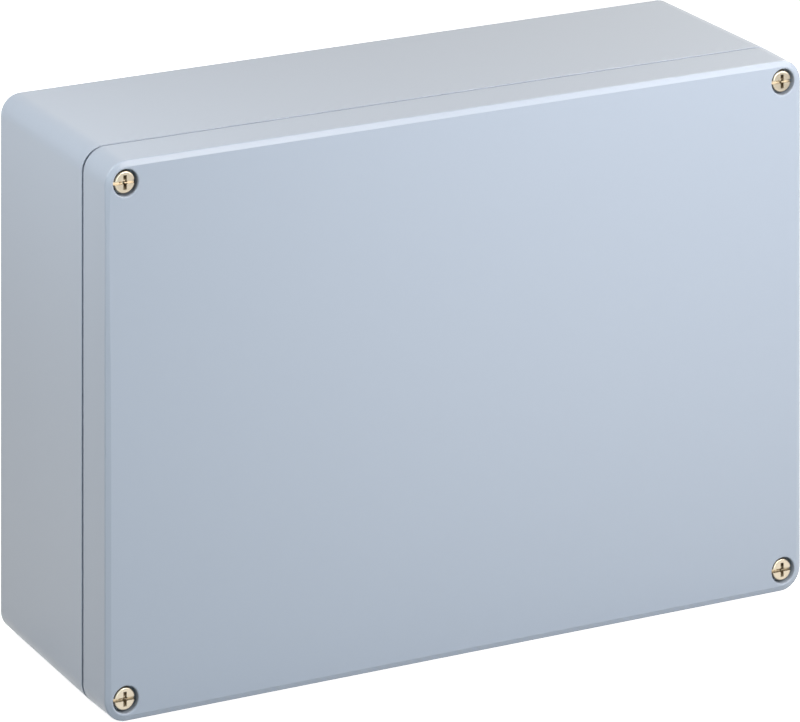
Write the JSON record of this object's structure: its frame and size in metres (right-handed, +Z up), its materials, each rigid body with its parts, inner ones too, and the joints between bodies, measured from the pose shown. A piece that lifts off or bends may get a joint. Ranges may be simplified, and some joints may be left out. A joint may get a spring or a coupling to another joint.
{
  "type": "die cast aluminium box",
  "caption": "Blank die cast aluminium wall box with a lift-off screwed lid, seal groove and outside fixing channels.",
  "frame": {"origin": "middle of the underside, on the surface that the box stands on", "axes": "+X along the box's length, +Z up, +Y from the lid to the wall side"},
  "size_m": [0.33, 0.112, 0.23],
  "materials": {
    "coated_casting": "smooth semi-gloss blue-grey powder coat over die cast aluminium",
    "stainless_screw": "turned stainless steel",
    "spring_washer": "stamped spring steel",
    "seal_rubber": "matt black rubber",
    "plated_steel": "zinc plated steel"
  },
  "bodies": {
    "base": {"base_housing": "coated_casting", "base_earth_clamp": "plated_steel", "base_earth_lock_washer": "plated_steel", "base_earth_screw": "plated_steel"},
    "lid": {"lid": "coated_casting", "lid_gasket": "seal_rubber", "lid_earth_clamp": "plated_steel", "lid_earth_lock_washer": "plated_steel", "lid_earth_screw": "plated_steel"},
    "retainer_lower_left": {"retaining_washer_lower_left": "spring_washer"},
    "retainer_lower_right": {"retaining_washer_lower_right": "spring_washer"},
    "retainer_upper_left": {"retaining_washer_upper_left": "spring_washer"},
    "retainer_upper_right": {"retaining_washer_upper_right": "spring_washer"},
    "screw_lower_left": {"lid_screw_lower_left": "stainless_screw"},
    "screw_lower_right": {"lid_screw_lower_right": "stainless_screw"},
    "screw_upper_left": {"lid_screw_upper_left": "stainless_screw"},
    "screw_upper_right": {"lid_screw_upper_right": "stainless_screw"}
  },
  "joints": [
    {"name": "lid_lift", "type": "slide", "parent": "base", "child": "lid", "axis": [0, -1, 0], "range_m": [0, 0.12]},
    {"name": "turn_lower_left", "type": "hinge", "parent": "lid", "child": "retainer_lower_left", "pos_m": [-0.1556, -0.045, 0.0094], "axis": [0, -1, 0], "range_deg": [0, 3600]},
    {"name": "turn_lower_right", "type": "hinge", "parent": "lid", "child": "retainer_lower_right", "pos_m": [0.1556, -0.045, 0.0094], "axis": [0, -1, 0], "range_deg": [0, 3600]},
    {"name": "turn_upper_left", "type": "hinge", "parent": "lid", "child": "retainer_upper_left", "pos_m": [-0.1556, -0.045, 0.2206], "axis": [0, -1, 0], "range_deg": [0, 3600]},
    {"name": "turn_upper_right", "type": "hinge", "parent": "lid", "child": "retainer_upper_right", "pos_m": [0.1556, -0.045, 0.2206], "axis": [0, -1, 0], "range_deg": [0, 3600]},
    {"name": "travel_lower_left", "type": "slide", "parent": "retainer_lower_left", "child": "screw_lower_left", "axis": [0, -1, 0], "range_m": [0, 0.01]},
    {"name": "travel_lower_right", "type": "slide", "parent": "retainer_lower_right", "child": "screw_lower_right", "axis": [0, -1, 0], "range_m": [0, 0.01]},
    {"name": "travel_upper_left", "type": "slide", "parent": "retainer_upper_left", "child": "screw_upper_left", "axis": [0, -1, 0], "range_m": [0, 0.01]},
    {"name": "travel_upper_right", "type": "slide", "parent": "retainer_upper_right", "child": "screw_upper_right", "axis": [0, -1, 0], "range_m": [0, 0.01]}
  ],
  "couplings": [
    {"joint": "turn_lower_left", "follows": "travel_lower_left", "rad_per_m": 6283.2},
    {"joint": "turn_lower_right", "follows": "travel_lower_right", "rad_per_m": 6283.2},
    {"joint": "turn_upper_left", "follows": "travel_upper_left", "rad_per_m": 6283.2},
    {"joint": "turn_upper_right", "follows": "travel_upper_right", "rad_per_m": 6283.2}
  ]
}
